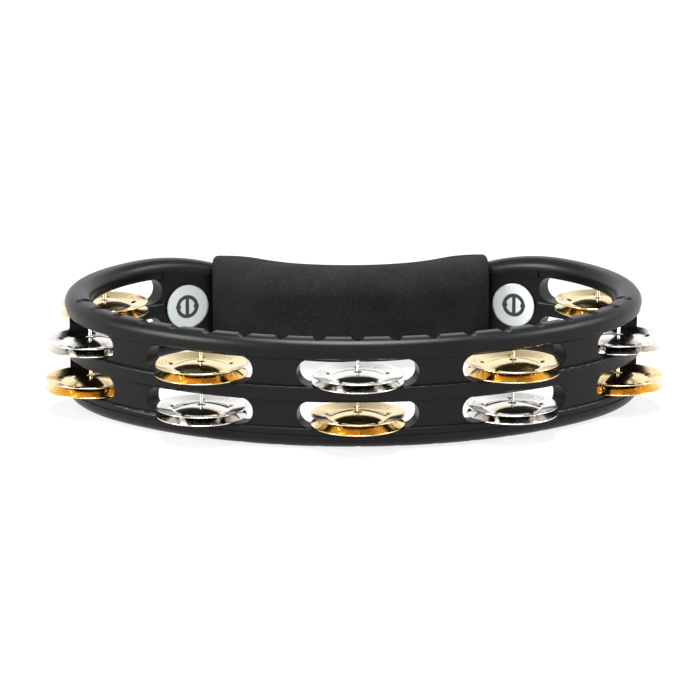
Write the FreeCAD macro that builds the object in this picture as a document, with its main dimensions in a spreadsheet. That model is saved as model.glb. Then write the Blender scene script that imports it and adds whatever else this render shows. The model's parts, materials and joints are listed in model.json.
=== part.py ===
import FreeCAD, Part
import math
import os
from types import SimpleNamespace

import Sketcher

# A crescent hand tambourine: one moulded frame with two rows of jingle slots,
# steel pins through both rows, loose jingle pairs on the pins and a foam grip.
# +Z is up, the curved front faces -Y, the handle is at +Y, and the origin is
# at the middle of the underside. Lengths are in millimetres.

SIZES = (
    ("frame_width", 250.0, "overall width of the frame"),
    ("front_radius_ratio", 0.5584, "front arc radius over the frame width"),
    ("side_radius_ratio", 0.282, "side arc radius over the frame width"),
    ("ear_radius_ratio", 0.052, "ear arc radius over the frame width"),
    ("handle_radius_ratio", 0.304, "handle arc radius over the frame width"),
    ("handle_depth_ratio", 0.5448, "front rail to handle over the frame width"),
    ("pitch_ratio", 0.2688, "pin spacing along the rail over the frame width"),
    ("rail_width", 11.8, "thickness of the frame wall in plan"),
    ("rail_flat", 1.8, "flat strip left along the rounded rails"),
    ("end_rail_height", 8.5, "height of the top and bottom rails"),
    ("middle_rail_height", 6.6, "height of the rail between the slot rows"),
    ("strip_depth", 0.5, "how far the strips beside the slots are set back"),
    ("strip_height", 3.0, "height of that strip on the top and bottom rails"),
    ("post_depth", 1.9, "how far the posts are set back"),
    ("rail_edge_radius", 1.2, "rounding of the rail edges beside the slots"),
    ("slot_end_room", 5.05, "space between a jingle and each slot end"),
    ("rear_slot_extra", 8.6, "extra length of the rear slots towards the handle"),
    ("handle_drop", 6.4, "how much lower the rail is at the handle"),
    ("drop_start_ratio", 0.38, "where the drop starts over the frame width"),
    ("drop_length_ratio", 0.176, "length of the drop over the frame width"),
    ("drop_share", 0.742, "share of the drop that is its outer curve"),
    ("notch_radius", 2.8, "radius of each rail notch"),
    ("notch_depth", 2.6, "depth of each notch on the rounded edge"),
    ("notch_tilt", 22.0, "slope of each notch in degrees"),
    ("notch_pitch_ratio", 0.0632, "notch spacing over the frame width"),
    ("pin_diameter", 1.3, "jingle pin shaft"),
    ("pin_fit", 0.03, "radial gap of a pin in the frame"),
    ("pin_head_diameter", 3.0, "head under the bottom rail"),
    ("pin_head_height", 1.0, "height of the pin head"),
    ("pin_head_recess", 0.5, "how far the head sits inside the frame"),
    ("pin_cover", 3.2, "material left above the pin in the top rail"),
    ("brass_diameter", 38.9, "brass jingle"),
    ("brass_flange_drop", 1.87, "rim to contact ring, brass jingle"),
    ("steel_diameter", 37.9, "steel jingle"),
    ("steel_flange_drop", 1.48, "rim to contact ring, steel jingle"),
    ("sheet_thickness", 0.5, "jingle sheet"),
    ("ring_ratio", 0.62, "contact ring radius over the jingle radius"),
    ("dome_rise", 0.55, "dome top above the rim"),
    ("jingle_hole_play", 1.0, "radial play of a jingle on its pin"),
    ("jingle_travel", 5.25, "free height in a slot above a brass pair"),
    ("seat_gap", 0.12, "gap between parts that lie on each other"),
    ("grip_side_wall", 8.1, "foam in front of and behind the handle"),
    ("grip_shortfall", 2.6, "how much lower the grip is than the frame is high"),
    ("grip_overhang", 2.0, "how far the grip reaches past the top of the ear"),
    ("grip_fit", 0.1, "gap between the foam and the handle"),
    ("grip_section_radius", 9.5, "rounding of the grip along its length"),
    ("decal_diameter", 20.0, "round label"),
    ("decal_thickness", 0.3, "label thickness"),
    ("decal_end_room", 2.5, "wall left between a label and the end of the side arc"),
)

STATIONS = (
    ("rear_left", -3), ("side_left", -2), ("front_left", -1), ("front", 0),
    ("front_right", 1), ("side_right", 2), ("rear_right", 3),
)
BRASS_IN_HIGH_ROW = ("rear_left", "front_left", "front_right", "rear_right")
BRASS_IN_LOW_ROW = ("side_left", "front", "side_right")
NOTCHES_EACH_SIDE = 9
SET_BACK_END = 85.0
RAIL_OVERLAP = 0.2
SLOT_BREAKOUT = 2.0

vector = FreeCAD.Vector
up = vector(0, 0, 1)
doc = FreeCAD.newDocument("tambourine")
sheet = doc.addObject("Spreadsheet::Sheet", "sizes")
size = SimpleNamespace(**{name: value for name, value, _ in SIZES})


def fill_sheet(rows, first_row):
    """Write named plain numbers into the size sheet."""
    for row, (name, value, note) in enumerate(rows, start=first_row):
        sheet.set(f"A{row}", note)
        sheet.set(f"B{row}", f"{value:.9f}")
        sheet.setAlias(f"B{row}", name)


def radial(centre, radius, angle):
    """Point on a circle in plan; the angle is in degrees."""
    turn = math.radians(angle)
    return vector(centre[0] + radius * math.cos(turn), centre[1] + radius * math.sin(turn), 0)


def solve_plan():
    """Centres and joining angles of the centreline's tangent arcs, right half."""
    width = size.frame_width
    plan = SimpleNamespace(
        front_radius=size.front_radius_ratio * width,
        side_radius=size.side_radius_ratio * width,
        ear_radius=size.ear_radius_ratio * width,
        handle_radius=size.handle_radius_ratio * width,
    )
    plan.side_x = width / 2 - size.rail_width / 2 - plan.side_radius
    reach = plan.front_radius - plan.side_radius
    plan.front_end = math.degrees(math.asin(plan.side_x / reach))
    front_y = plan.front_radius
    side_y = front_y - reach * math.cos(math.radians(plan.front_end))
    handle_y = size.handle_depth_ratio * width + plan.handle_radius
    to_ear = plan.side_radius - plan.ear_radius
    from_ear = plan.handle_radius + plan.ear_radius
    span = math.hypot(plan.side_x, handle_y - side_y)
    along = (to_ear ** 2 - from_ear ** 2 + span ** 2) / (2 * span)
    across = math.sqrt(to_ear ** 2 - along ** 2)
    unit_x = -plan.side_x / span
    unit_y = (handle_y - side_y) / span
    plan.ear_x = plan.side_x + along * unit_x + across * unit_y
    ear_y = side_y + along * unit_y - across * unit_x
    rear = ear_y + plan.ear_radius + size.rail_width / 2 + size.grip_side_wall
    front = -max(size.brass_diameter, size.steel_diameter) / 2
    shift = -(front + rear) / 2
    plan.front_y = front_y + shift
    plan.side_y = side_y + shift
    plan.ear_y = ear_y + shift
    plan.handle_y = handle_y + shift
    plan.side_end = math.degrees(math.atan2(ear_y - side_y, plan.ear_x - plan.side_x))
    plan.ear_end = math.degrees(math.atan2(handle_y - ear_y, -plan.ear_x))
    plan.handle_half_angle = plan.ear_end - 90
    return plan


plan = solve_plan()
half_width = size.rail_width / 2
brass_pair = 2 * (size.brass_flange_drop + size.dome_rise + size.sheet_thickness)
slot_height = brass_pair + size.jingle_travel
slot_half_length = max(size.brass_diameter, size.steel_diameter) / 2 + size.slot_end_room
slot_end_radius = slot_height / 2 - 0.12
frame_height = 2 * size.end_rail_height + size.middle_rail_height + 2 * slot_height
grip_height = frame_height - size.grip_shortfall
rail_rounding = (size.rail_width - size.rail_flat) / 2
pin_pitch = size.pitch_ratio * size.frame_width
low_floor = size.end_rail_height
high_floor = size.end_rail_height + slot_height + size.middle_rail_height
drop_start = size.drop_start_ratio * size.frame_width
drop_length = size.drop_length_ratio * size.frame_width

DERIVED = (
    ("front_radius", plan.front_radius, "front arc of the centreline"),
    ("side_radius", plan.side_radius, "side arc of the centreline"),
    ("ear_radius", plan.ear_radius, "ear arc of the centreline"),
    ("handle_radius", plan.handle_radius, "handle arc of the centreline"),
    ("front_y", plan.front_y, "front arc centre"),
    ("side_x", plan.side_x, "side arc centre across"),
    ("side_y", plan.side_y, "side arc centre along"),
    ("handle_y", plan.handle_y, "handle arc centre"),
    ("frame_height", frame_height, "overall height"),
    ("slot_height", slot_height, "height of a jingle slot"),
    ("rail_rounding", rail_rounding, "rounding of the rails"),
    ("grip_height", grip_height, "height of the foam grip"),
    ("slot_end_radius", slot_end_radius, "rounding of the slot ends"),
)
fill_sheet(SIZES, 1)
fill_sheet(DERIVED, len(SIZES) + 2)
doc.recompute()


def origin_plane(body, role):
    """One of a body's own origin planes or axes."""
    return [item for item in body.Origin.OriginFeatures if item.Role == role][0]


def new_body(label):
    """An empty body whose label names its file."""
    body = doc.addObject("PartDesign::Body", label)
    body.Label = label
    return body


def new_sketch(body, name, role, offset=None):
    """A sketch on one of the body's origin planes."""
    sketch = body.newObject("Sketcher::SketchObject", name)
    sketch.AttachmentSupport = [(origin_plane(body, role), "")]
    sketch.MapMode = "FlatFace"
    if offset is not None:
        sketch.AttachmentOffset = offset
    return sketch


def dimension(sketch, kind, places, value, expression):
    """A driving dimension tied to the size sheet."""
    index = sketch.addConstraint(Sketcher.Constraint(kind, *places, value))
    sketch.setExpression(f"Constraints[{index}]", expression)
    return index


def arc(centre, radius, start, end):
    """Arc of a circle, anticlockwise, angles in degrees."""
    circle = Part.Circle(vector(centre[0], centre[1], 0), up, radius)
    return Part.ArcOfCircle(circle, math.radians(start), math.radians(end))


def centres():
    """Centres of the six centreline arcs, anticlockwise from the front."""
    return (
        (0, plan.front_y),
        (plan.side_x, plan.side_y),
        (plan.ear_x, plan.ear_y),
        (0, plan.handle_y),
        (-plan.ear_x, plan.ear_y),
        (-plan.side_x, plan.side_y),
    )


def add_ring_loop(sketch, offset, offset_text):
    """Closed loop of six tangent arcs, parallel to the centreline."""
    radii = (
        (plan.front_radius + offset, "sizes.front_radius + ", -90 - plan.front_end, -90 + plan.front_end),
        (plan.side_radius + offset, "sizes.side_radius + ", -90 + plan.front_end, plan.side_end),
        (plan.ear_radius + offset, "sizes.ear_radius + ", plan.side_end, plan.ear_end),
        (plan.handle_radius - offset, "sizes.handle_radius - ",
         -90 - plan.handle_half_angle, -90 + plan.handle_half_angle),
        (plan.ear_radius + offset, "sizes.ear_radius + ", 180 - plan.ear_end, 180 - plan.side_end),
        (plan.side_radius + offset, "sizes.side_radius + ", 180 - plan.side_end, 270 - plan.front_end),
    )
    first = sketch.GeometryCount
    for centre, (radius, _, start, end) in zip(centres(), radii):
        sketch.addGeometry(arc(centre, radius, start, end))
    ends = ((0, 2, 1, 1), (1, 2, 2, 1), (2, 2, 3, 2), (3, 1, 4, 1), (4, 2, 5, 1), (5, 2, 0, 1))
    for one, one_end, other, other_end in ends:
        sketch.addConstraint(
            Sketcher.Constraint("Tangent", first + one, one_end, first + other, other_end)
        )
    for index, (radius, text, _, _) in enumerate(radii):
        dimension(sketch, "Radius", (first + index,), radius, text + offset_text)
    sketch.addConstraint(Sketcher.Constraint("PointOnObject", first, 3, -2))
    dimension(sketch, "DistanceY", (-1, 1, first, 3), plan.front_y, "sizes.front_y")
    dimension(sketch, "DistanceX", (-1, 1, first + 1, 3), plan.side_x, "sizes.side_x")
    dimension(sketch, "DistanceX", (first + 5, 3, -1, 1), plan.side_x, "sizes.side_x")
    sketch.addConstraint(Sketcher.Constraint("PointOnObject", first + 3, 3, -2))
    dimension(sketch, "DistanceY", (-1, 1, first + 3, 3), plan.handle_y, "sizes.handle_y")


def add_circle(sketch, centre, radius, expression):
    """Circle fixed in place with a driven radius."""
    index = sketch.addGeometry(Part.Circle(vector(centre[0], centre[1], 0), up, radius))
    dimension(sketch, "Radius", (index,), radius, expression)
    for kind, value in (("DistanceX", centre[0]), ("DistanceY", centre[1])):
        sketch.addConstraint(Sketcher.Constraint(kind, -1, 1, index, 3, value))


def rail_place(distance):
    """Point and heading, in degrees, at a distance along the centreline."""
    side = 1 if distance >= 0 else -1
    run = abs(distance)
    front_run = plan.front_radius * math.radians(plan.front_end)
    if run <= front_run:
        heading = math.degrees(run / plan.front_radius)
        spot = radial((0, plan.front_y), plan.front_radius, heading - 90)
    else:
        heading = plan.front_end + math.degrees((run - front_run) / plan.side_radius)
        spot = radial((plan.side_x, plan.side_y), plan.side_radius, heading - 90)
    return vector(side * spot.x, spot.y, 0), side * heading


def add_pad(body, name, sketch, length):
    """Pad upwards by a length given as an expression."""
    pad = body.newObject("PartDesign::Pad", name)
    pad.Profile = sketch
    pad.setExpression("Length", length)
    return pad


def add_pocket(body, name, sketch, length, both_ways=False, upwards=False):
    """Pocket from a sketch, one way or both ways."""
    pocket = body.newObject("PartDesign::Pocket", name)
    pocket.Profile = sketch
    pocket.setExpression("Length", length)
    pocket.Midplane = both_ways
    pocket.Reversed = upwards
    return pocket


def lift(height):
    """Placement that raises a sketch."""
    return FreeCAD.Placement(vector(0, 0, height), FreeCAD.Rotation())


def add_drop_profile(sketch, level, outward):
    """Closed profile that lowers the rail over the handle, two tangent curves each side."""
    drop = size.handle_drop
    turn = 2 * math.atan(drop / drop_length)
    bends = drop_length / math.sin(turn)
    outer_bend = bends * size.drop_share
    inner_bend = bends - outer_bend
    degrees = math.degrees(turn)
    outer = drop_start
    inner = drop_start - drop_length
    low = level - outward * drop
    above = level + outward * drop
    for side in (1, -1):
        first = 90 if outward > 0 else -90
        second = -first
        spread = side * outward * degrees
        outer_angles = sorted((first, first + spread))
        inner_angles = sorted((second, second + spread))
        for piece in (
            arc((side * outer, level - outward * outer_bend), outer_bend, *outer_angles),
            arc((side * inner, low + outward * inner_bend), inner_bend, *inner_angles),
        ):
            add_fixed(sketch, piece)
    for start, end in (
        ((-inner, low), (inner, low)),
        ((outer, level), (outer, above)),
        ((outer, above), (-outer, above)),
        ((-outer, above), (-outer, level)),
    ):
        add_fixed(sketch, Part.LineSegment(vector(*start, 0), vector(*end, 0)))


def add_fixed(sketch, piece):
    """Add a piece of outline whose place is worked out, and hold it there."""
    index = sketch.addGeometry(piece)
    sketch.addConstraint(Sketcher.Constraint("Block", index))


def rail_edges(shape):
    """Names of the edges where the top or bottom meets a side wall."""
    names = []
    for index, edge in enumerate(shape.Edges, start=1):
        faces = shape.ancestorsOfType(edge, Part.Face)
        upright = [abs(face.normalAt(*middle_of(face)).z) < 0.01 for face in faces]
        if sum(upright) == 1:
            names.append(f"Edge{index}")
    return names


def middle_of(face):
    """Middle parameters of a face."""
    low_u, high_u, low_v, high_v = face.ParameterRange
    return (low_u + high_u) / 2, (low_v + high_v) / 2


def level_edges(shape, heights, offset_test):
    """Names of the level edges at given heights whose distance from the centreline passes."""
    names = []
    for index, edge in enumerate(shape.Edges, start=1):
        box = edge.BoundBox
        if box.ZLength > 1e-6 or min(abs(box.ZMin - height) for height in heights) > 1e-4:
            continue
        low, high = edge.ParameterRange
        if edge.Curve.TypeId == "Part::GeomCircle" and offset_test(edge.valueAt((low + high) / 2)):
            names.append(f"Edge{index}")
    return names


def wall_offset(point):
    """Distance of a point outside the centreline, negative inside the ring."""
    across = abs(point.x)
    nearest = None
    for centre, radius, sign in (
        ((0, plan.front_y), plan.front_radius, 1),
        ((plan.side_x, plan.side_y), plan.side_radius, 1),
        ((plan.ear_x, plan.ear_y), plan.ear_radius, 1),
        ((0, plan.handle_y), plan.handle_radius, -1),
    ):
        reach = math.hypot(across - centre[0], point.y - centre[1])
        offset = sign * (reach - radius)
        if nearest is None or abs(offset) < abs(nearest):
            nearest = offset
    return nearest


def add_front_band(sketch, near, far, stop, past_side):
    """Closed band between two offsets from the centreline, round the front to both rears.

    It stops at an angle about the side centres, or about the ear centres if past the sides.
    """
    side_stop = plan.side_end if past_side else stop
    for offset in (near, far):
        front = plan.front_radius + offset
        side = plan.side_radius + offset
        ear = plan.ear_radius + offset
        turn = plan.front_end - 90
        add_fixed(sketch, arc((0, plan.front_y), front, -180 - turn, turn))
        add_fixed(sketch, arc((plan.side_x, plan.side_y), side, turn, side_stop))
        add_fixed(sketch, arc((-plan.side_x, plan.side_y), side, 180 - side_stop, 180 - turn))
        if past_side:
            add_fixed(sketch, arc((plan.ear_x, plan.ear_y), ear, side_stop, stop))
            add_fixed(sketch, arc((-plan.ear_x, plan.ear_y), ear, 180 - stop, 180 - side_stop))
    centre = (plan.ear_x, plan.ear_y) if past_side else (plan.side_x, plan.side_y)
    radius = plan.ear_radius if past_side else plan.side_radius
    for middle, angle in ((centre, stop), ((-centre[0], centre[1]), 180 - stop)):
        ends = [radial(middle, radius + offset, angle) for offset in (near, far)]
        add_fixed(sketch, Part.LineSegment(*ends))


def add_set_back(body, name, bottom, depth, stop, past_side):
    """Set both wall faces back round the front, from a level to its mirror above."""
    shallow = half_width - depth
    beyond = half_width + 1
    for side, place in ((1, "out"), (-1, "in")):
        sketch = new_sketch(body, f"{name}_{place}_sketch", "XY_Plane", lift(bottom))
        add_front_band(sketch, side * shallow, side * beyond, stop, past_side)
        add_pocket(body, f"{name}_{place}", sketch, f"{frame_height - 2 * bottom:.6f}", upwards=True)


def slot_ends(step):
    """Start and end angles about the arc's centre, and that centre, for a slot."""
    spot, heading = rail_place(abs(step) * pin_pitch)
    on_side = heading > plan.front_end
    radius = plan.side_radius if on_side else plan.front_radius
    centre = (plan.side_x, plan.side_y) if on_side else (0, plan.front_y)
    half = math.degrees(slot_half_length / radius)
    extra = math.degrees(size.rear_slot_extra / radius) if abs(step) == 3 else 0
    start, end = heading - 90 - half, heading - 90 + half + extra
    if step < 0:
        centre = (-centre[0], centre[1])
        start, end = 180 - end, 180 - start
    return centre, radius, start, end


def add_sector(sketch, centre, near, far, start, end):
    """Closed outline between two arcs and two radial lines."""
    add_fixed(sketch, arc(centre, near, start, end))
    add_fixed(sketch, arc(centre, far, start, end))
    for angle in (start, end):
        add_fixed(sketch, Part.LineSegment(radial(centre, near, angle), radial(centre, far, angle)))


def add_middle_rail(body):
    """Put the middle rail back round the front and sides, up to the rear slots' ends."""
    sketch = new_sketch(body, "middle_rail_sketch", "XY_Plane", lift(low_floor + slot_height))
    add_front_band(sketch, -half_width, half_width, slot_ends(3)[3] - RAIL_OVERLAP, False)
    add_pad(body, "middle_rail", sketch, "sizes.middle_rail_height")


def build_slot_cutters():
    """The slots, low and high, as solids with rounded ends, to be cut from the wall."""
    body = new_body("slot_cutters")
    for row, floor in (("low", low_floor), ("high", high_floor)):
        sketch = new_sketch(body, f"{row}_slots_sketch", "XY_Plane", lift(floor))
        for _, step in STATIONS:
            centre, radius, start, end = slot_ends(step)
            reach = half_width + SLOT_BREAKOUT
            add_sector(sketch, centre, radius - reach, radius + reach, start, end)
        add_pad(body, f"{row}_slots", sketch, "sizes.slot_height")
    doc.recompute()
    rough = body.Tip
    rounding = body.newObject("PartDesign::Fillet", "slot_ends")
    rounding.Base = (rough, straight_level_edges(rough.Shape))
    rounding.setExpression("Radius", "sizes.slot_end_radius")
    return body


def straight_level_edges(shape):
    """Names of the level straight edges."""
    names = []
    for index, edge in enumerate(shape.Edges, start=1):
        if edge.Curve.TypeId == "Part::GeomLine" and edge.BoundBox.ZLength < 1e-6:
            names.append(f"Edge{index}")
    return names


def add_pin_holes(body):
    """Blind holes for the shafts, and recesses for the heads under the bottom rail."""
    shafts = new_sketch(body, "pin_holes_sketch", "XY_Plane")
    heads = new_sketch(body, "pin_heads_sketch", "XY_Plane")
    shaft_radius = size.pin_diameter / 2 + size.pin_fit
    head_radius = size.pin_head_diameter / 2 + size.pin_fit
    for _, step in STATIONS:
        spot, _ = rail_place(step * pin_pitch)
        add_circle(shafts, spot, shaft_radius, "sizes.pin_diameter / 2 + sizes.pin_fit")
        add_circle(heads, spot, head_radius, "sizes.pin_head_diameter / 2 + sizes.pin_fit")
    add_pocket(body, "pin_heads", heads, "sizes.pin_head_height + sizes.pin_head_recess", upwards=True)
    add_pocket(body, "pin_holes", shafts, "sizes.frame_height - sizes.pin_cover", upwards=True)


def notch_cutter(step, above):
    """Sloping round cutter across the inner edge of the top or bottom rail."""
    spot, heading = rail_place(step * size.notch_pitch_ratio * size.frame_width)
    sign = 1 if above else -1
    length = 3 * size.rail_width
    cutter = doc.addObject("Part::Cylinder", "notch_cutter")
    cutter.setExpression("Radius", "sizes.notch_radius")
    cutter.Height = length
    inward = vector(-math.sin(math.radians(heading)), math.cos(math.radians(heading)), 0)
    tilt = math.radians(size.notch_tilt)
    along = inward * math.cos(tilt) - up * (sign * math.sin(tilt))
    lifted = inward * math.sin(tilt) + up * (sign * math.cos(tilt))
    level = frame_height if above else 0
    corner = rail_rounding * (1 - math.cos(tilt))
    edge = spot + inward * (half_width - rail_rounding + rail_rounding * math.sin(tilt))
    surface = edge + up * (level - sign * corner)
    axis_point = surface + lifted * (size.notch_radius - size.notch_depth)
    start = axis_point - along * (length / 2)
    cutter.Placement = FreeCAD.Placement(start, FreeCAD.Rotation(up, along))
    return cutter


def add_edge_rounding(body, name, heights, offset):
    """Round the level rail edges that stand at an offset from the centreline."""
    doc.recompute()
    rough = body.Tip
    edges = level_edges(rough.Shape, heights, lambda point: abs(abs(wall_offset(point)) - offset) < 0.01)
    rounding = body.newObject("PartDesign::Fillet", name)
    rounding.Base = (rough, edges)
    rounding.setExpression("Radius", "sizes.rail_edge_radius")


def build_frame():
    """The one-piece moulded frame."""
    body = new_body("moulding")
    ring = new_sketch(body, "ring_sketch", "XY_Plane")
    add_ring_loop(ring, half_width, "(sizes.rail_width / 2)")
    add_ring_loop(ring, -half_width, "-(sizes.rail_width / 2)")
    add_pad(body, "ring", ring, "sizes.frame_height")
    behind = FreeCAD.Placement(vector(0, 0, -(plan.side_y + plan.side_radius / 2)), FreeCAD.Rotation())
    for name, level, outward in (("top_drop", frame_height, 1), ("bottom_drop", 0, -1)):
        profile = new_sketch(body, f"{name}_sketch", "XZ_Plane", behind)
        add_drop_profile(profile, level, outward)
        add_pocket(body, name, profile, "sizes.frame_width / 2")
    doc.recompute()
    wall = body.Tip
    fillet = body.newObject("PartDesign::Fillet", "rail_rounding_fillet")
    fillet.Base = (wall, rail_edges(wall.Shape))
    fillet.setExpression("Radius", "sizes.rail_rounding")
    slots_stop = slot_ends(3)[3] - RAIL_OVERLAP
    strip_bottom = low_floor - size.strip_height
    add_set_back(body, "strip", strip_bottom, size.strip_depth, slots_stop, False)
    add_set_back(body, "post", low_floor, size.post_depth, slots_stop, False)
    add_edge_rounding(body, "end_rail_edges", (low_floor, frame_height - low_floor),
                      half_width - size.strip_depth)
    add_set_back(body, "wall", low_floor, size.post_depth, SET_BACK_END, True)
    add_middle_rail(body)
    add_edge_rounding(body, "middle_rail_edges", (low_floor + slot_height, high_floor), half_width)
    add_pin_holes(body)
    doc.recompute()
    cutters = doc.addObject("Part::Compound", "frame_cutters")
    steps = range(-NOTCHES_EACH_SIDE, NOTCHES_EACH_SIDE + 1)
    notches = [notch_cutter(step, above) for above in (True, False) for step in steps]
    cutters.Links = [build_slot_cutters(), *notches]
    frame = doc.addObject("Part::Cut", "frame")
    frame.Label = "frame"
    frame.Base = body
    frame.Tool = cutters
    return frame


def add_closed_profile(sketch, points):
    """Straight-sided closed profile fixed point by point."""
    count = len(points)
    for index in range(count):
        start = vector(*points[index], 0)
        end = vector(*points[(index + 1) % count], 0)
        line = sketch.addGeometry(Part.LineSegment(start, end))
        sketch.addConstraint(Sketcher.Constraint("Block", line))


def add_turn(body, name, sketch, angle=360.0):
    """Revolve a profile about the body's upright axis."""
    turn = body.newObject("PartDesign::Revolution", name)
    turn.Profile = sketch
    turn.ReferenceAxis = (origin_plane(body, "Z_Axis"), [""])
    turn.Angle = angle
    return turn


def build_pin(label, step):
    """Headed steel pin, upright through both slots."""
    body = new_body(f"pin_{label}")
    sketch = new_sketch(body, f"pin_{label}_sketch", "XZ_Plane")
    shaft = size.pin_diameter / 2
    head = size.pin_head_diameter / 2
    foot = size.pin_head_recess
    neck = foot + size.pin_head_height
    tip = frame_height - size.pin_cover - size.seat_gap
    chamfer = shaft / 3
    add_closed_profile(sketch, (
        (0, foot), (head, foot), (head, neck), (shaft, neck),
        (shaft, tip - chamfer), (shaft - chamfer, tip), (0, tip),
    ))
    add_turn(body, f"pin_{label}_turned", sketch)
    spot, _ = rail_place(step * pin_pitch)
    body.Placement = FreeCAD.Placement(spot, FreeCAD.Rotation())
    return body


def jingle_profile(diameter, flange_drop):
    """Half section of the lower jingle: sheet with a dome below and a rim that flares."""
    outer = diameter / 2
    ring = outer * size.ring_ratio
    hole = size.pin_diameter / 2 + size.jingle_hole_play
    dome_height = flange_drop + size.dome_rise
    sheet_gap = size.sheet_thickness
    crown = ring * 0.45
    lower = [
        (hole, 0), (crown, 0.12 * dome_height), (ring * 0.8, 0.52 * dome_height),
        (ring, dome_height), (outer, size.dome_rise),
    ]
    upper = [(across, height + sheet_gap) for across, height in reversed(lower)]
    return lower + upper, dome_height + sheet_gap


def build_jingle(label, place, floor, brass, upside):
    """One stamped jingle; the upper one of a pair is the lower one turned over."""
    body = new_body(label)
    kind = "brass" if brass else "steel"
    diameter = getattr(size, f"{kind}_diameter")
    drop = getattr(size, f"{kind}_flange_drop")
    profile, thickness = jingle_profile(diameter, drop)
    sketch = new_sketch(body, f"{label}_sketch", "XZ_Plane")
    add_closed_profile(sketch, profile)
    add_turn(body, f"{label}_turned", sketch)
    height = floor + size.seat_gap
    turn = FreeCAD.Rotation()
    if upside:
        height += 2 * thickness + size.seat_gap
        turn = FreeCAD.Rotation(vector(1, 0, 0), 180)
    body.Placement = FreeCAD.Placement(place + up * height, turn)
    return body


def drop_at(across):
    """How far the rail is lowered at a distance from the middle plane, on the outer curve."""
    turn = 2 * math.atan(size.handle_drop / drop_length)
    bend = drop_length / math.sin(turn) * size.drop_share
    reach = max(drop_start - across, 0)
    return bend - math.sqrt(bend ** 2 - reach ** 2)


def build_grip():
    """Foam sleeve over the handle, square-cut past the tops of the ears."""
    body = new_body("foam_grip")
    half_depth = half_width + size.grip_side_wall
    end_x = plan.ear_x + size.grip_overhang
    end_drop = drop_at(end_x)
    bottom = (frame_height - grip_height) / 2
    outline = new_sketch(body, "grip_outline", "XY_Plane", lift(bottom))
    front = plan.handle_radius + half_depth
    front_turn = math.degrees(math.asin(end_x / front))
    front_y = plan.handle_y - front * math.cos(math.radians(front_turn))
    back = plan.handle_radius - half_depth
    ear = plan.ear_radius + half_depth
    back_turn = plan.handle_half_angle
    rear_y = plan.ear_y + ear
    pieces = [arc((0, plan.handle_y), front, -90 - front_turn, -90 + front_turn),
              arc((0, plan.handle_y), back, -90 - back_turn, -90 + back_turn),
              arc((plan.ear_x, plan.ear_y), ear, 90, plan.ear_end),
              arc((-plan.ear_x, plan.ear_y), ear, 180 - plan.ear_end, 90)]
    for side in (1, -1):
        rear_corner = vector(side * end_x, rear_y, 0)
        pieces.append(Part.LineSegment(vector(side * plan.ear_x, rear_y, 0), rear_corner))
        pieces.append(Part.LineSegment(rear_corner, vector(side * end_x, front_y, 0)))
    for piece in pieces:
        add_fixed(outline, piece)
    block = add_pad(body, "grip_block", outline, "sizes.grip_height")
    doc.recompute()
    round_grip(body, block, end_x)
    core = new_sketch(body, "grip_core_sketch", "XY_Plane", lift(end_drop - size.grip_fit))
    gap = half_width + size.grip_fit
    add_ring_loop(core, gap, "(sizes.rail_width / 2 + sizes.grip_fit)")
    add_ring_loop(core, -gap, "-(sizes.rail_width / 2 + sizes.grip_fit)")
    core_height = frame_height - 2 * end_drop + 2 * size.grip_fit
    add_pocket(body, "grip_core", core, f"{core_height:.6f}", upwards=True)
    return body


def round_grip(body, block, end_x):
    """Round the grip's long edges and leave its two ends square."""
    names = []
    for index, edge in enumerate(block.Shape.Edges, start=1):
        box = edge.BoundBox
        on_end = box.XLength < 1e-4 and abs(abs(box.XMin) - end_x) < 1e-4
        if box.ZLength < 1e-4 and not on_end:
            names.append(f"Edge{index}")
    rounding = body.newObject("PartDesign::Fillet", "grip_section")
    rounding.Base = (block, names)
    rounding.setExpression("Radius", "sizes.grip_section_radius")


def build_decal(label, side):
    """Thin round label that follows the curve of the inner wall."""
    wall = plan.side_radius - half_width + size.post_depth
    angle = plan.side_end - math.degrees((size.decal_diameter / 2 + size.decal_end_room) / wall)
    if side < 0:
        angle = 180 - angle
    centre = vector(side * plan.side_x, plan.side_y, 0)
    shells = []
    for name, gap in (("outer", 0.02), ("inner", 0.02 + size.decal_thickness)):
        shell = doc.addObject("Part::Cylinder", f"{label}_{name}")
        shell.Radius = wall - gap
        shell.setExpression("Height", "sizes.frame_height")
        shell.Placement = FreeCAD.Placement(centre, FreeCAD.Rotation())
        shells.append(shell)
    sheet_ring = doc.addObject("Part::Cut", f"{label}_sheet")
    sheet_ring.Base, sheet_ring.Tool = shells
    punch = doc.addObject("Part::Cylinder", f"{label}_punch")
    punch.setExpression("Radius", "sizes.decal_diameter / 2")
    punch.Height = wall
    outward = radial((0, 0), 1, angle)
    start = centre + outward * (wall / 2) + up * (frame_height / 2)
    punch.Placement = FreeCAD.Placement(start, FreeCAD.Rotation(up, outward))
    decal = doc.addObject("Part::Common", label)
    decal.Label = label
    decal.Base = sheet_ring
    decal.Tool = punch
    return decal


def build_all():
    """Every separate piece, in the order it is fitted."""
    pieces = [build_frame(), build_grip()]
    pieces += [build_decal("decal_left", -1), build_decal("decal_right", 1)]
    for label, step in STATIONS:
        pieces.append(build_pin(label, step))
        place, _ = rail_place(step * pin_pitch)
        for row, floor, brass_places in (
            ("high", high_floor, BRASS_IN_HIGH_ROW),
            ("low", low_floor, BRASS_IN_LOW_ROW),
        ):
            brass = label in brass_places
            for disc, upside in (("bottom", False), ("top", True)):
                name = f"jingle_{label}_{row}_{disc}"
                pieces.append(build_jingle(name, place, floor, brass, upside))
    return pieces


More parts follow.
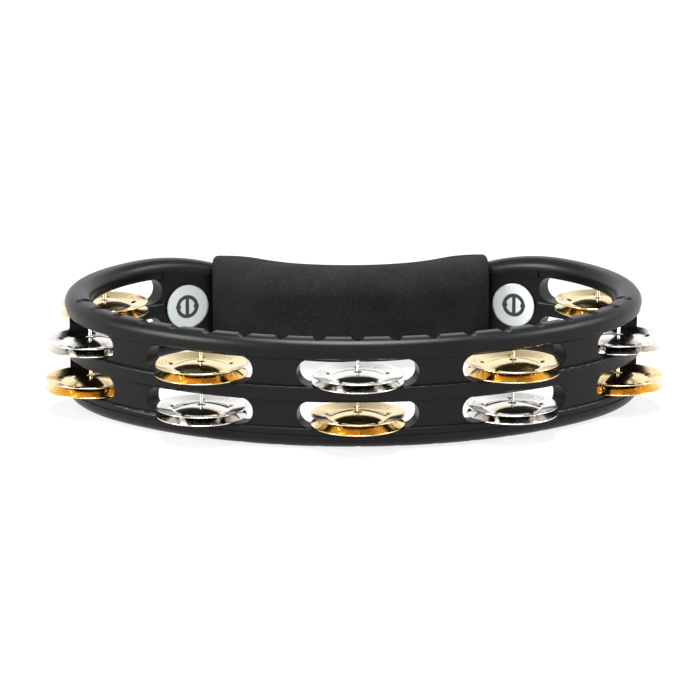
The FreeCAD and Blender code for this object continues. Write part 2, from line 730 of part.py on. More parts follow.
def check_and_export(pieces):
    """Stop on any broken feature or solid, then write one file per piece."""
    for item in doc.Objects:
        if "Invalid" in item.State or "Error" in item.State:
            raise RuntimeError(f"{item.Label} is not built: {item.State}")
    for piece in pieces:
        shape = piece.Shape
        if shape.isNull() or not shape.isValid() or len(shape.Solids) != 1:
            raise RuntimeError(f"{piece.Label} is not one valid solid")
    os.makedirs("parts", exist_ok=True)
    for piece in pieces:
        piece.Shape.exportStep(f"parts/{piece.Label}.step")


built = build_all()
doc.recompute()
check_and_export(built)
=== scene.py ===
import json
import math

import bpy
import numpy as np
from bpy.props import FloatProperty, FloatVectorProperty, IntProperty, PointerProperty
from bpy.types import Operator, Panel, PropertyGroup
from mathutils import Matrix, Vector


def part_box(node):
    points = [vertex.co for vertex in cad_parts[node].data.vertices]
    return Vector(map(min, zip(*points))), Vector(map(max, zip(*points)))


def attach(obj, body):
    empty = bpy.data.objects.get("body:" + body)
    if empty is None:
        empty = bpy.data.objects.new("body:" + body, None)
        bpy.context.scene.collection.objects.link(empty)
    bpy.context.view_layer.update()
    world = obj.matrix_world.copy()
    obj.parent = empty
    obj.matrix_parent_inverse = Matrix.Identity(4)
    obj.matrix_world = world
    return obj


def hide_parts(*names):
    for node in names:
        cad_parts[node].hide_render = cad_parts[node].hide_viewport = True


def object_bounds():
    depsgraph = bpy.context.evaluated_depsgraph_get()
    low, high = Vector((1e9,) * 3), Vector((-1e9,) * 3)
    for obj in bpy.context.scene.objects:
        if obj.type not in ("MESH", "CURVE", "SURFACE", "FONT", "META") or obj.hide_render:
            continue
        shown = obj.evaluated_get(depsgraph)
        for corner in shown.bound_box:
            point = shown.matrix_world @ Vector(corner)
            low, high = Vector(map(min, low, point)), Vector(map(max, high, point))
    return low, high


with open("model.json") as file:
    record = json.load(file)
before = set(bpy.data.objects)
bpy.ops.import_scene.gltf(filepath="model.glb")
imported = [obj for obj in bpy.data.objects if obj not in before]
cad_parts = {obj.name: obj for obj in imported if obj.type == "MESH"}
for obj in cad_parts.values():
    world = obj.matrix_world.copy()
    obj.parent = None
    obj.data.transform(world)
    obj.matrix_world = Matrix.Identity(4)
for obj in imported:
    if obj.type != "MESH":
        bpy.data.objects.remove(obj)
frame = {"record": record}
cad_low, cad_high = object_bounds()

bl_info = {
    "name": "Crescent tambourine",
    "version": (1, 0, 0),
    "blender": (4, 5, 0),
    "location": "3D View > Sidebar > Tambourine",
    "description": "Dresses the tambourine's frame with jingles, a foam grip, labels and finishes",
    "category": "Add Mesh",
}

STATIONS = ("rear_left", "side_left", "front_left", "front", "front_right", "side_right", "rear_right")
TURN = 2 * math.pi
DIMPLE_PLACE = 0.68  # dimple circle over the rim radius
DIMPLE_SPREAD = 0.052  # dimple radius over the rim radius
DIMPLE_START = 0.25  # first dimple, in steps from one dimple to the next
GRIP_OVERHANG = 0.002  # how far the grip reaches past the top of the ear
FACE_TOLERANCE = 0.00005  # how near a face a vertex counts as on it


# ---------------------------------------------------------------- sizes from the frame

def node_box(name):
    """A node's lowest and highest corners as numpy arrays."""
    low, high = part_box(name)
    return np.array(low), np.array(high)


def node_middle(name):
    """The middle of a node's box."""
    low, high = node_box(name)
    return (low + high) / 2


def jingle_slots():
    """Node name to material slot for every jingle."""
    return {
        row["node"]: row["material_slot"]
        for row in frame["record"]["subparts"] if row["node"].startswith("jingle_")
    }


GRIP_LOW, GRIP_HIGH = node_box("foam_grip")


class SizeSettings(PropertyGroup):
    """Sizes a maker may want to change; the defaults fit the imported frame."""

    sheet: FloatProperty(
        name="Jingle sheet", description="Thickness of the jingle sheet",
        default=0.0005, unit="LENGTH")
    ring_ratio: FloatProperty(
        name="Contact ring", description="Contact ring radius over the jingle radius",
        default=0.62, subtype="FACTOR")
    dome_rise: FloatProperty(
        name="Dome rise", description="How far the dome stands past the rim",
        default=0.00055, unit="LENGTH")
    hole_radius: FloatProperty(
        name="Hole radius", description="Hole in the middle of a jingle",
        default=0.00165, unit="LENGTH")
    dimple_depth: FloatProperty(
        name="Dimple depth", description="Depth of the punched dimples",
        default=0.00042, unit="LENGTH")
    dimples: IntProperty(name="Dimples", description="Punched dimples on each jingle", default=5)
    grip_end_round: FloatProperty(
        name="Grip end rounding", description="Rounding of the foam's ends",
        default=0.0028, unit="LENGTH")
    grip_wall: FloatProperty(
        name="Foam wall", description="Foam in front of and behind the handle",
        default=0.0080, unit="LENGTH")
    core_height: FloatProperty(
        name="Handle height", description="Height of the hole for the handle",
        default=0.0376, unit="LENGTH")
    label_thickness: FloatProperty(
        name="Label thickness", description="Thickness of the round labels",
        default=0.0003, unit="LENGTH")


class LookSettings(PropertyGroup):
    """Base colours of the finishes."""

    plastic: FloatVectorProperty(
        name="Plastic", description="Moulded frame",
        default=(0.0020, 0.0020, 0.0022), size=3, subtype="COLOR")
    foam: FloatVectorProperty(
        name="Foam", description="Grip", default=(0.0095, 0.0095, 0.0098), size=3, subtype="COLOR")
    brass: FloatVectorProperty(
        name="Brass", description="Brass jingles", default=(0.95, 0.76, 0.43), size=3, subtype="COLOR")
    steel: FloatVectorProperty(
        name="Steel", description="Steel jingles", default=(0.88, 0.855, 0.82), size=3, subtype="COLOR")
    label: FloatVectorProperty(
        name="Label", description="Round labels", default=(0.76, 0.81, 0.825), size=3, subtype="COLOR")


# ---------------------------------------------------------------- shader maths

class Wire:
    """A shader socket that adds Math nodes when it is used in a sum."""

    def __init__(self, paint, socket):
        self.paint = paint
        self.socket = socket

    def _maths(self, operation, one, other=None, third=None):
        values = [one, other, third]
        inputs = {i: v for i, v in enumerate(values) if v is not None}
        return self.paint.node("ShaderNodeMath", {"operation": operation}, inputs)

    def __add__(self, other):
        return self._maths("ADD", self, other)

    def __radd__(self, other):
        return self._maths("ADD", other, self)

    def __sub__(self, other):
        return self._maths("SUBTRACT", self, other)

    def __rsub__(self, other):
        return self._maths("SUBTRACT", other, self)

    def __mul__(self, other):
        return self._maths("MULTIPLY", self, other)

    def __rmul__(self, other):
        return self._maths("MULTIPLY", other, self)

    def __truediv__(self, other):
        return self._maths("DIVIDE", self, other)

    def __rtruediv__(self, other):
        return self._maths("DIVIDE", other, self)

    def __pow__(self, other):
        return self._maths("POWER", self, other)

    def __neg__(self):
        return self._maths("MULTIPLY", self, -1.0)

    def sine(self):
        return self._maths("SINE", self)

    def size(self):
        return self._maths("ABSOLUTE", self)

    def most(self, other):
        return self._maths("MAXIMUM", self, other)

    def step(self, low, high):
        """0 below low, 1 above high, smooth between."""
        settings = {"interpolation_type": "SMOOTHSTEP", "clamp": True}
        inputs = {"Value": self, "From Min": low, "From Max": high}
        return self.paint.node("ShaderNodeMapRange", settings, inputs)


class Paint:
    """One material and the nodes that make it."""

    def __init__(self, name):
        self.material = bpy.data.materials.new(name)
        self.material.use_nodes = True
        self.tree = self.material.node_tree
        self.tree.nodes.clear()

    def node(self, kind, settings=None, inputs=None, output=0):
        """Add a node, set its settings, then its socket values or links."""
        node = self.tree.nodes.new(kind)
        for key, value in (settings or {}).items():
            if key == "stops":
                self._stops(node.color_ramp, value)
            else:
                setattr(node, key, value)
        for key, value in (inputs or {}).items():
            socket = node.inputs[key]
            if isinstance(value, Wire):
                self.tree.links.new(value.socket, socket)
            elif isinstance(value, (int, float)) and socket.type in ("VECTOR", "RGBA"):
                width = len(socket.default_value)
                socket.default_value = ([value] * 3 + [1.0])[:width]
            elif socket.type == "RGBA" and len(value) == 3:
                socket.default_value = (*value, 1.0)
            else:
                socket.default_value = value
        return Wire(self, node.outputs[output]) if len(node.outputs) else node

    @staticmethod
    def _stops(ramp, stops):
        while len(ramp.elements) < len(stops):
            ramp.elements.new(1.0)
        for element, (place, colour) in zip(ramp.elements, stops):
            element.position = place
            element.color = (*colour, 1.0) if len(colour) == 3 else colour

    def place(self):
        """Object coordinates in metres."""
        return self.node("ShaderNodeTexCoord", output=3)

    def noise(self, scale, detail=3.0, roughness=0.55, place=None, output=0):
        inputs = {"Vector": place or self.place(), "Scale": scale, "Detail": detail, "Roughness": roughness}
        return self.node("ShaderNodeTexNoise", {"noise_dimensions": "3D"}, inputs, output)

    def wrap(self, value):
        """The part of a value past its whole number."""
        return self.node("ShaderNodeMath", {"operation": "FRACT"}, {0: value})

    def cells(self, scale, feature="F1", place=None):
        inputs = {"Vector": place or self.place(), "Scale": scale}
        return self.node("ShaderNodeTexVoronoi", {"feature": feature}, inputs)

    def mix(self, share, one, other, blend="MIX"):
        """Mix two colours."""
        node = self.tree.nodes.new("ShaderNodeMix")
        node.data_type = "RGBA"
        node.blend_type = blend
        sockets = {"share": node.inputs[0], "one": node.inputs[6], "other": node.inputs[7]}
        for key, value in (("share", share), ("one", one), ("other", other)):
            if isinstance(value, Wire):
                self.tree.links.new(value.socket, sockets[key])
            elif key == "share":
                sockets[key].default_value = value
            else:
                sockets[key].default_value = (*value[:3], 1.0)
        return Wire(self, node.outputs[2])

    def bump(self, height, distance, strength=1.0, under=None):
        inputs = {"Height": height, "Distance": distance, "Strength": strength}
        if under is not None:
            inputs["Normal"] = under
        return self.node("ShaderNodeBump", None, inputs)

    def finish(self, inputs):
        """Principled shader to the output."""
        shader = self.node("ShaderNodeBsdfPrincipled", None, inputs)
        self.node("ShaderNodeOutputMaterial", None, {"Surface": shader})
        return self.material


def shade(colour, factor):
    """A colour made lighter or darker."""
    return tuple(min(1.0, c * factor) for c in colour[:3])


def plastic_finish(name, colour):
    """Black moulded plastic: fine pebble grain, faint scuffs, lighter worn patches."""
    paint = Paint(name)
    pebbles = paint.cells(1250.0, "SMOOTH_F1")
    fine = paint.noise(2600.0, 2.0)
    broad = paint.noise(38.0, 4.0, 0.6)
    scuffs = paint.noise(520.0, 5.0, 0.7).step(0.62, 0.78)
    tone = paint.mix(broad.step(0.35, 0.7), shade(colour, 0.8), shade(colour, 1.35))
    tone = paint.mix(scuffs * 0.35, tone, shade(colour, 3.0))
    rough = broad * 0.10 + 0.27 + scuffs * 0.08 + fine * 0.06
    grain = paint.bump(pebbles * 0.8 + fine * 0.4, 0.00004, 0.5)
    return paint.finish({
        "Base Color": tone, "Roughness": rough, "IOR": 1.5, "Normal": grain,
        "Specular IOR Level": 0.23,
    })


def foam_finish(name, colour):
    """Charcoal closed-cell foam: tiny open cells, pale dust specks, very matte."""
    paint = Paint(name)
    cells = paint.cells(2100.0)
    specks = paint.noise(1500.0, 4.0, 0.75).step(0.50, 0.66)
    cloud = paint.noise(60.0, 4.0, 0.6)
    tone = paint.mix(cloud.step(0.3, 0.75), shade(colour, 0.75), shade(colour, 1.3))
    tone = paint.mix(specks * 0.75, tone, shade(colour, 3.2))
    height = cells * 0.8 + paint.noise(1500.0, 4.0, 0.7) * 0.7
    grain = paint.bump(height, 0.00022, 0.75)
    return paint.finish({
        "Base Color": tone, "Roughness": 0.9 + specks * 0.06, "Normal": grain,
        "Specular IOR Level": 0.12,
    })


def metal_finish(name, colour, warm, rough_base, dimples):
    """Polished sheet metal: soft blotches, fine spun lines, painted shade darkening the dimples nearly to
    black, and stippled patches.

    UV: u is the way round, v is the radius over the rim radius.
    """
    paint = Paint(name)
    cloud = paint.noise(110.0, 4.0, 0.6)
    haze = paint.noise(420.0, 4.0, 0.65).step(0.45, 0.8)
    spots = paint.noise(1500.0, 3.0, 0.6).step(0.66, 0.76)
    uv = paint.node("ShaderNodeUVMap", {"uv_map": "UVMap"})
    around = paint.node("ShaderNodeSeparateXYZ", None, {"Vector": uv}, 0)
    radius = paint.node("ShaderNodeSeparateXYZ", None, {"Vector": uv}, 1)
    turn = paint.wrap(around * float(dimples) - DIMPLE_START + 0.5) - 0.5
    aside = turn * (TURN * DIMPLE_PLACE / dimples)
    # mask for the painted shade in the dimples: 0 at a dimple's middle, 1 clear of it
    beyond_dimple_shade = ((aside * aside + (radius - DIMPLE_PLACE) ** 2.0) ** 0.5).step(0.036, DIMPLE_SPREAD)
    pair = paint.wrap(around * 3.0 + 0.1) - 0.5
    patch = 1.0 - (pair.size() * 3.6).most((radius - 0.82).size() * 5.2).step(0.42, 0.50)
    stipple = paint.noise(1700.0, 2.0, 0.5).step(0.50, 0.58) * patch
    tone = paint.mix(cloud.step(0.35, 0.7), colour, warm)
    tone = paint.mix(spots * 0.3, tone, shade(colour, 0.55))
    tone = paint.mix(stipple * 0.55, tone, shade(colour, 0.35))
    # painted shade: the colour is darkened nearly to black inside each dimple, standing in for the shade
    # that falls in the dent
    tone = paint.mix((1.0 - beyond_dimple_shade) * 0.85, tone, shade(colour, 0.12))
    spun = (radius * 420.0).sine()
    rough = haze * 0.10 + rough_base + spots * 0.10 + stipple * 0.15
    normal = paint.bump(spun * 0.25 + cloud * 1.2 - stipple * 0.3, 0.00003, 0.3)
    return paint.finish({"Base Color": tone, "Metallic": 1.0, "Roughness": rough, "Normal": normal})


def wire_finish(name, colour):
    """Drawn steel wire: fine lines along its length and faint darker streaks."""
    paint = Paint(name)
    stretch = paint.node("ShaderNodeMapping", None, {"Vector": paint.place(), "Scale": (1.0, 1.0, 0.06)})
    streaks = paint.noise(5200.0, 3.0, 0.6, stretch)
    tone = paint.mix(streaks.step(0.4, 0.7), shade(colour, 0.8), colour)
    grain = paint.bump(streaks, 0.00002, 0.5)
    return paint.finish({
        "Base Color": tone, "Metallic": 1.0, "Roughness": streaks * 0.15 + 0.16, "Normal": grain,
    })


def label_finish(name, colour, ink):
    """Glossy printed label: pale ground, an open dark ring with beads, a small stroke below.

    UV runs from -1 to 1 across the label, kept as 0 to 1.
    """
    paint = Paint(name)
    uv = paint.node("ShaderNodeUVMap", {"uv_map": "UVMap"})
    across = paint.node("ShaderNodeSeparateXYZ", None, {"Vector": uv}, 0) * 2.0 - 1.0
    above = paint.node("ShaderNodeSeparateXYZ", None, {"Vector": uv}, 1) * 2.0 - 1.0
    reach = (across * across + above * above) ** 0.5
    ring = 1.0 - (reach - 0.45).size().step(0.075, 0.095)
    bead = 1.0 - ((across.size() - 0.43) ** 2.0 + above * above).step(0.014, 0.018)
    post = 1.0 - (across.size() - 0.075).step(0.0, 0.02)
    bar = post * (1.0 - (above.size() - 0.44).step(0.0, 0.02))
    mark = ring.most(bead).most(bar)
    border = reach.step(0.955, 0.985)
    tone = paint.mix(paint.noise(900.0, 3.0).step(0.3, 0.8), shade(colour, 0.95), colour)
    tone = paint.mix(mark, tone, ink)
    tone = paint.mix(border * 0.5, tone, shade(colour, 0.5))
    rough = mark * 0.12 + 0.22 + paint.noise(300.0, 3.0) * 0.08
    print_edge = paint.bump(mark + paint.noise(1200.0, 2.0) * 0.1, 0.00003, 0.4)
    return paint.finish({"Base Color": tone, "Roughness": rough, "Coat Weight": 0.4, "Normal": print_edge})


def floor_finish(name):
    """Plain white table, lit from inside so that shadows on it stay pale."""
    paint = Paint(name)
    tone = paint.mix(paint.noise(3.0, 2.0), (0.115, 0.115, 0.115), (0.12, 0.12, 0.12))
    return paint.finish({
        "Base Color": tone, "Roughness": 0.9, "Specular IOR Level": 0.1,
        "Emission Color": (1.0, 1.0, 1.0), "Emission Strength": 0.82,
    })


# ---------------------------------------------------------------- surfaces

def closed_grid(name, points, uv=None):
    """Mesh from a grid of points that joins up both ways.

    points has the shape (rounds, steps, 3); each cell becomes one four-sided face.
    """
    rounds, steps = points.shape[:2]
    index = np.arange(rounds * steps).reshape(rounds, steps)
    faces = np.stack([
        index, np.roll(index, -1, 0), np.roll(np.roll(index, -1, 0), -1, 1), np.roll(index, -1, 1),
    ], -1).reshape(-1, 4)
    mesh = bpy.data.meshes.new(name)
    mesh.vertices.add(rounds * steps)
    mesh.vertices.foreach_set("co", points.reshape(-1).astype(np.float32))
    mesh.loops.add(faces.size)
    mesh.loops.foreach_set("vertex_index", faces.reshape(-1).astype(np.int32))
    mesh.polygons.add(len(faces))
    mesh.polygons.foreach_set("loop_start", np.arange(0, faces.size, 4, dtype=np.int32))
    mesh.polygons.foreach_set("use_smooth", np.ones(len(faces), bool))
    if uv is not None:
        layer = mesh.uv_layers.new(name="UVMap")
        layer.data.foreach_set("uv", uv.reshape(-1, 2)[faces.reshape(-1)].reshape(-1).astype(np.float32))
    mesh.update(calc_edges=True)
    mesh.validate()
    piece = bpy.data.objects.new(name, mesh)
    bpy.context.scene.collection.objects.link(piece)
    return piece


def sheet_heights(radius, rim, ring, flange_drop, rise):
    """Middle surface of the lower jingle above its lowest point.

    A soft minimum of a dome, height times (r / ring) to the power 2.3, and a straight
    flange that falls from the contact ring to the rim.
    """
    top = flange_drop + rise
    dome = top * (radius / ring) ** 2.3
    flange = top - flange_drop * (radius - ring) / (rim - ring)
    sharp = 4200.0  # per metre; a larger value gives a tighter bend at the contact ring
    return -np.log(np.exp(-sharp * dome) + np.exp(-sharp * flange)) / sharp


def jingle_points(low, high, upside, sizes, rounds=160, steps=40):
    """Points and UV of one jingle: the sheet's section carried once round the pin.

    The section goes out along the lower skin, round the rim in a half circle, back along
    the upper skin and round the edge of the hole.
    """
    rim = (high[0] - low[0]) / 2
    half = sizes.sheet / 2
    flange_drop = (high[2] - low[2]) - sizes.sheet - sizes.dome_rise
    out = rim - half
    inn = sizes.hole_radius + half
    skin = sizes.hole_radius + (rim - sizes.hole_radius - 2 * half) * np.linspace(0, 1, steps) + half
    arc = np.linspace(-math.pi / 2, math.pi / 2, 7)[1:-1]
    radius = np.concatenate([skin, out + half * np.cos(arc), skin[::-1], inn - half * np.cos(arc)])
    level = np.concatenate([-np.ones(steps), np.sin(arc), np.ones(steps), -np.sin(arc)]) * half
    middle = np.clip(radius, inn, out)
    turn = np.linspace(0, TURN, rounds, endpoint=False)
    plain = sheet_heights(middle, rim, rim * sizes.ring_ratio, flange_drop, sizes.dome_rise)
    height = plain[None, :] + dimple_heights(middle, turn, rim, sizes)
    height = height + level[None, :] + half
    centre = (low + high) / 2
    sign = -1 if upside else 1
    base = high[2] if upside else low[2]
    x = centre[0] + radius[None, :] * np.cos(turn)[:, None]
    y = centre[1] + radius[None, :] * np.sin(turn)[:, None]
    points = np.stack([x, y, base + sign * height], -1)
    if not upside:
        points = points[:, ::-1]
        radius = radius[::-1]
    uv = np.stack(np.broadcast_arrays(turn[:, None] / TURN, radius[None, :] / rim), -1)
    return points, uv


def dimple_heights(radius, turn, rim, sizes):
    """Bell-shaped dents: depth times exp(-(gap / spread)^4), gap being the way to a dimple."""
    across = radius[None, :] * np.cos(turn)[:, None]
    above = radius[None, :] * np.sin(turn)[:, None]
    heights = np.zeros_like(across)
    for number in range(sizes.dimples):
        angle = TURN * (number + DIMPLE_START) / sizes.dimples
        gap = ((across - DIMPLE_PLACE * rim * math.cos(angle)) ** 2
               + (above - DIMPLE_PLACE * rim * math.sin(angle)) ** 2)
        heights = heights + sizes.dimple_depth * np.exp(-(gap / (rim * DIMPLE_SPREAD) ** 2) ** 2)
    return heights


def grip_plan():
    """Plan of the foam read from the frame: handle centre, front and back radii, ear arc.

    The front face and its corner give the handle's centre by chord and rise. The ear arc
    touches the back arc and the rear line: its radius is (e^2 + u^2 - b^2) / (2 (b - u)),
    where e is the ear's distance from the middle, u runs from the rear line to the
    handle's centre and b is the back radius.
    """
    rows = np.array([v.co for v in bpy.data.objects["foam_grip"].data.vertices])
    end = GRIP_HIGH[0]
    front_middle = GRIP_LOW[1]
    back_middle = rows[np.abs(rows[:, 0]) < 0.006][:, 1].max()
    corner = rows[rows[:, 0] > end - FACE_TOLERANCE][:, 1].min()
    sag = corner - front_middle
    front = (end ** 2 + sag ** 2) / (2 * sag)
    centre = front_middle + front
    back = centre - back_middle
    ear_x = end - GRIP_OVERHANG
    above = centre - GRIP_HIGH[1]
    ear = (ear_x ** 2 + above ** 2 - back ** 2) / (2 * (back - above))
    return centre, front, back, ear_x, GRIP_HIGH[1] - ear, ear


def grip_faces(across, wall):
    """Front and back of the sleeve at a distance from the middle, a wall's depth inside the foam."""
    centre, front, back, ear_x, ear_y, ear = grip_plan()
    reach = np.abs(across)
    near = centre - np.sqrt((front - wall) ** 2 - across ** 2)
    meet = (back + wall) * ear_x / (back + ear)
    on_handle = centre - np.sqrt(np.maximum((back + wall) ** 2 - across ** 2, 0))
    past = np.clip(reach - ear_x, -(ear - wall), 0)
    on_ear = ear_y + np.sqrt(np.maximum((ear - wall) ** 2 - past ** 2, 0))
    return near, np.where(reach < meet, on_handle, on_ear)


def soft_box(half_depth, half_height, rounding, corner=18, flat=8):
    """Section of the foam: a box with round corners, one row for each station.

    Each corner is a quarter circle; the flats between are straight.
    """
    quarter = np.linspace(0, math.pi / 2, corner)
    rows = []
    for number, (side, above) in enumerate(((1, 1), (-1, 1), (-1, -1), (1, -1))):
        angle = quarter + number * math.pi / 2
        cx = side * (half_depth - rounding)[:, None]
        cz = above * (half_height - rounding)[:, None]
        round_x = cx + rounding[:, None] * np.cos(angle)
        round_z = cz + rounding[:, None] * np.sin(angle)
        rows.append(np.stack([round_x, round_z], -1))
    section = []
    share = np.linspace(0, 1, flat + 2)[1:-1][None, :, None]
    for number, row in enumerate(rows):
        following = rows[(number + 1) % 4]
        section += [row, row[:, -1:] * (1 - share) + following[:, :1] * share]
    return np.concatenate(section, 1)


def grip_points(sizes, over_steps=150, inner_steps=70):
    """Points of the foam sleeve: its section at each station from one square end to the other.

    The stations go out over the foam, round the end's edge in a quarter circle, over the
    flat end and back along the handle inside.
    """
    half_height = (GRIP_HIGH[2] - GRIP_LOW[2]) / 2
    middle_z = (GRIP_HIGH[2] + GRIP_LOW[2]) / 2
    end = GRIP_HIGH[0]
    bend = sizes.grip_end_round
    quarter = np.linspace(0, math.pi / 2, 8)[1:]
    outer = np.linspace(-(end - bend), end - bend, over_steps)
    over = end - bend + bend * np.sin(quarter)
    face = np.full(3, end)
    inner = np.linspace(end, -end, inner_steps)
    blend = np.linspace(0, 1, 5)[1:-1]
    sunk = bend * (1 - np.cos(quarter))
    across = np.concatenate([outer, over, face, inner, -face, -over[::-1]])
    inset = np.concatenate([np.zeros(over_steps), sunk, np.full(inner_steps + 6, bend), sunk[::-1]])
    share = np.concatenate([
        np.zeros(over_steps + 7), blend, np.ones(inner_steps), blend[::-1], np.zeros(7)])
    near, far = grip_faces(across, 0.0)
    core_near, core_far = grip_faces(across, sizes.grip_wall)
    half_depth = (far - near) / 2 - inset
    waist = half_height - 0.0006 * (across / end) ** 2 - inset
    foam = soft_box(half_depth, waist, np.minimum(half_depth * 0.86, waist * 0.6))
    core_depth = (core_far - core_near) / 2
    core = soft_box(core_depth, np.full_like(across, sizes.core_height / 2), core_depth * 0.6)
    mixed = foam * (1 - share)[:, None, None] + core * share[:, None, None]
    middle = (near + far) / 2 * (1 - share) + (core_near + core_far) / 2 * share
    x = np.broadcast_to(across[:, None], mixed.shape[:2])
    y = middle[:, None] + mixed[..., 0]
    wave = 0.00010 * np.sin(x * 190) * np.sin(mixed[..., 1] * 230 + 1.3) * (1 - share)[:, None]
    return np.stack([x, y + wave, middle_z + mixed[..., 1] + wave], -1)[:, ::-1]


def label_points(low, high, side, sizes, rounds=96):
    """Points and UV of a round label: a thin disc laid on the upright curve of the wall.

    The disc's section goes out over the face, round the edge and back behind it.
    """
    height = high[2] - low[2]
    reach = height / 2
    middle = (low + high) / 2
    chord = np.array([high[0] - low[0], (low[1] - high[1]) * side])
    along = chord / np.linalg.norm(chord)
    out = np.array([-along[1], along[0]])
    sag = 0.0008  # how far the wall bows across the label
    steps = np.concatenate([np.linspace(0, 1, 14)[1:], [1.0], np.linspace(1, 0, 5)[1:-1]])
    lift = np.concatenate([np.ones(13), [0.0], np.zeros(3)]) * sizes.label_thickness
    steps = np.concatenate([[0.0005], steps, [0.0005]])
    lift = np.concatenate([[sizes.label_thickness], lift, [0.0]])
    turn = np.linspace(0, TURN, rounds, endpoint=False)
    s = reach * steps[None, :] * np.cos(turn)[:, None]
    up = reach * steps[None, :] * np.sin(turn)[:, None]
    curve = sag * (1 - (s / reach) ** 2)
    proud = curve - lift[None, :]
    base = middle[:2] - out * sag * 0.5
    x = base[0] + along[0] * s + out[0] * proud
    y = base[1] + along[1] * s + out[1] * proud
    z = middle[2] + up
    uv = np.stack([0.5 + 0.5 * s / reach, 0.5 + 0.5 * up / reach], -1)
    return np.stack([x, y, z], -1), uv


def dress(piece, material):
    """Give a piece one material."""
    piece.data.materials.clear()
    piece.data.materials.append(material)
    return piece


# ---------------------------------------------------------------- operators

class TAMBOURINE_OT_frame(Operator):
    """Give the moulded frame and the pins their finishes."""

    bl_idname = "tambourine.frame"
    bl_label = "Frame and pins"

    def execute(self, context):
        looks = context.scene.tambourine_looks
        plastic = plastic_finish("moulded_plastic", looks.plastic)
        wire = wire_finish("drawn_wire", looks.steel)
        dress(bpy.data.objects["frame"], plastic)
        for station in STATIONS:
            dress(bpy.data.objects[f"pin_{station}"], wire)
        return {"FINISHED"}


class TAMBOURINE_OT_jingles(Operator):
    """Stamp every jingle and put it on its pin."""

    bl_idname = "tambourine.jingles"
    bl_label = "Jingles"

    def execute(self, context):
        sizes = context.scene.tambourine_sizes
        looks = context.scene.tambourine_looks
        finishes = {
            "brass_jingle": metal_finish(
                "polished_brass", looks.brass, shade(looks.brass, 0.93), 0.09, sizes.dimples),
            "steel_jingle": metal_finish(
                "polished_steel", looks.steel, shade(looks.steel, 0.92), 0.07, sizes.dimples),
        }
        for node, slot in jingle_slots().items():
            low, high = node_box(node)
            points, uv = jingle_points(low, high, node.endswith("_top"), sizes)
            piece = dress(closed_grid(f"stamped_{node}", points, uv), finishes[slot])
            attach(piece, node)
            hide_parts(node)
        return {"FINISHED"}


class TAMBOURINE_OT_grip(Operator):
    """Slide the foam grip over the handle."""

    bl_idname = "tambourine.grip"
    bl_label = "Foam grip"

    def execute(self, context):
        points = grip_points(context.scene.tambourine_sizes)
        grip = closed_grid("padded_grip", points)
        dress(grip, foam_finish("charcoal_foam", context.scene.tambourine_looks.foam))
        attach(grip, "frame")
        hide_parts("foam_grip")
        return {"FINISHED"}


class TAMBOURINE_OT_labels(Operator):
    """Stick the two round labels on the inner wall."""

    bl_idname = "tambourine.labels"
    bl_label = "Labels"

    def execute(self, context):
        looks = context.scene.tambourine_looks
        material = label_finish("printed_label", looks.label, (0.012, 0.013, 0.015))
        for node, side in (("decal_left", -1), ("decal_right", 1)):
            low, high = node_box(node)
            points, uv = label_points(low, high, side, context.scene.tambourine_sizes)
            piece = dress(closed_grid(f"printed_{node}", points, uv), material)
            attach(piece, "frame")
            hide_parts(node)
        return {"FINISHED"}


class TAMBOURINE_OT_stage(Operator):
    """Add the floor, the lights and the camera."""

    bl_idname = "tambourine.stage"
    bl_label = "Stage"

    def execute(self, context):
        add_floor()
        add_world()
        add_lights()
        add_camera()
        return {"FINISHED"}


def add_floor():
    """A wide pale floor just under the tambourine."""
    reach = 6.0
    corners = [(-reach, -reach, 0), (reach, -reach, 0), (reach, reach, 0), (-reach, reach, 0)]
    mesh = bpy.data.meshes.new("floor")
    mesh.from_pydata([(x, y, cad_low[2] - 0.0003) for x, y, _ in corners], [], [(0, 1, 2, 3)])
    floor = bpy.data.objects.new("floor", mesh)
    bpy.context.scene.collection.objects.link(floor)
    dress(floor, floor_finish("pale_floor"))


def add_world():
    """White surroundings, bright low down and dimmer overhead."""
    world = bpy.data.worlds.new("white_room")
    bpy.context.scene.world = world
    world.use_nodes = True
    tree = world.node_tree
    background = tree.nodes["Background"]
    background.inputs["Color"].default_value = (1, 1, 1, 1)
    way = tree.nodes.new("ShaderNodeTexCoord")
    parts = tree.nodes.new("ShaderNodeSeparateXYZ")
    fade = tree.nodes.new("ShaderNodeMapRange")
    fade.interpolation_type = "SMOOTHSTEP"
    for key, value in (("From Min", 0.45), ("From Max", 0.80), ("To Min", 1.15), ("To Max", 0.20)):
        fade.inputs[key].default_value = value
    tree.links.new(way.outputs["Generated"], parts.inputs[0])
    tree.links.new(parts.outputs["Z"], fade.inputs["Value"])
    tree.links.new(fade.outputs[0], background.inputs["Strength"])
    bpy.context.scene.view_settings.view_transform = "Standard"


def add_lights():
    """Soft daylight from above and behind, with weaker fills from the left and right."""
    lamps = (
        ("overhead", (0.0, -0.05, 1.0), 5.6, 30),
        ("left_fill", (-1.0, -0.40, 0.65), 2.8, 24),
        ("right_fill", (1.0, 0.0, 0.8), 1.5, 24),
    )
    for name, source, power, angle in lamps:
        data = bpy.data.lights.new(name, "SUN")
        data.energy = power
        data.angle = math.radians(angle)
        lamp = bpy.data.objects.new(name, data)
        lamp.rotation_euler = Vector(source).to_track_quat("Z", "Y").to_euler()
        bpy.context.scene.collection.objects.link(lamp)


def swing(one, other, angle):
    """Two square directions turned together in their own plane."""
    cosine, sine = math.cos(angle), math.sin(angle)
    return one * cosine - other * sine, one * sine + other * cosine


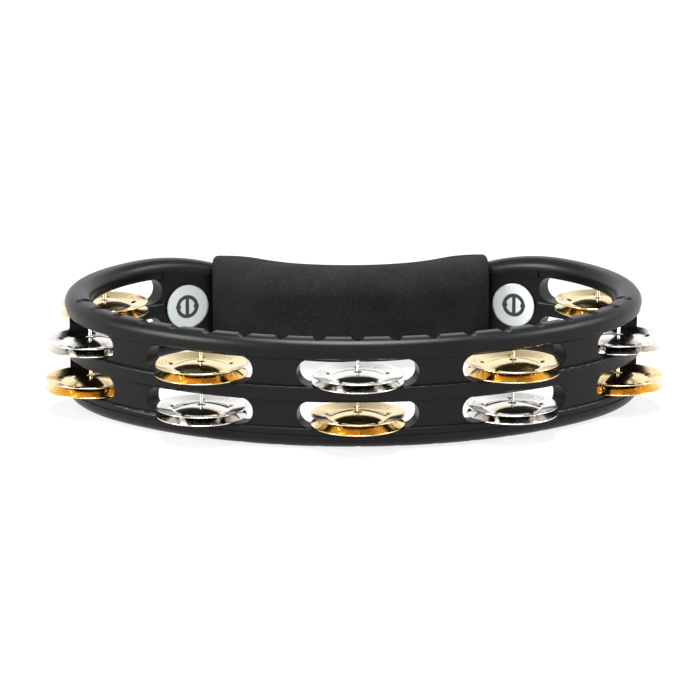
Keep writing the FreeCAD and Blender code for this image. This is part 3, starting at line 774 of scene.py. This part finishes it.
def add_camera():
    """A long lens, a little above the rails, aimed just over the tambourine."""
    distance = 1.5114
    elevation, yaw = math.radians(15.07), math.radians(1.17)
    pan, tilt = math.radians(-0.0715), math.radians(0.841)
    pin_to_pivot = 0.070
    pivot = Vector((0.0, float(node_middle("pin_front")[1]) + pin_to_pivot, 0.0))
    unturn = Matrix.Rotation(-yaw, 3, "Z")
    right = Vector((1, 0, 0))
    above = Vector((0, math.sin(elevation), math.cos(elevation)))
    ahead = Vector((0, math.cos(elevation), -math.sin(elevation)))
    start = -distance * ahead
    right, ahead = swing(right, ahead, pan)
    above, ahead = swing(above, ahead, tilt)
    turned = Matrix((unturn @ right, unturn @ above, unturn @ -ahead)).transposed()
    data = bpy.data.cameras.new("camera")
    data.sensor_width = 36.0
    data.lens = 180.3
    data.clip_start = 0.05
    camera = bpy.data.objects.new("camera", data)
    camera.matrix_world = Matrix.Translation(pivot + unturn @ start) @ turned.to_4x4()
    bpy.context.scene.collection.objects.link(camera)
    bpy.context.scene.camera = camera


class TAMBOURINE_PT_panel(Panel):
    """Sidebar panel with the settings and one button per step."""

    bl_label = "Tambourine"
    bl_idname = "TAMBOURINE_PT_panel"
    bl_space_type = "VIEW_3D"
    bl_region_type = "UI"
    bl_category = "Tambourine"

    def draw(self, context):
        for group in (context.scene.tambourine_sizes, context.scene.tambourine_looks):
            column = self.layout.column(align=True)
            for name in group.__annotations__:
                column.prop(group, name)
        for step in STEPS:
            self.layout.operator(step.bl_idname)


STEPS = (
    TAMBOURINE_OT_frame, TAMBOURINE_OT_jingles, TAMBOURINE_OT_grip,
    TAMBOURINE_OT_labels, TAMBOURINE_OT_stage,
)
CLASSES = (SizeSettings, LookSettings, *STEPS, TAMBOURINE_PT_panel)


def register():
    for cls in CLASSES:
        bpy.utils.register_class(cls)
    bpy.types.Scene.tambourine_sizes = PointerProperty(type=SizeSettings)
    bpy.types.Scene.tambourine_looks = PointerProperty(type=LookSettings)


def unregister():
    del bpy.types.Scene.tambourine_looks
    del bpy.types.Scene.tambourine_sizes
    for cls in reversed(CLASSES):
        bpy.utils.unregister_class(cls)


def main():
    """Register and run every step in order."""
    register()
    bpy.ops.tambourine.frame()
    bpy.ops.tambourine.jingles()
    bpy.ops.tambourine.grip()
    bpy.ops.tambourine.labels()
    bpy.ops.tambourine.stage()


if __name__ == "__main__":
    main()
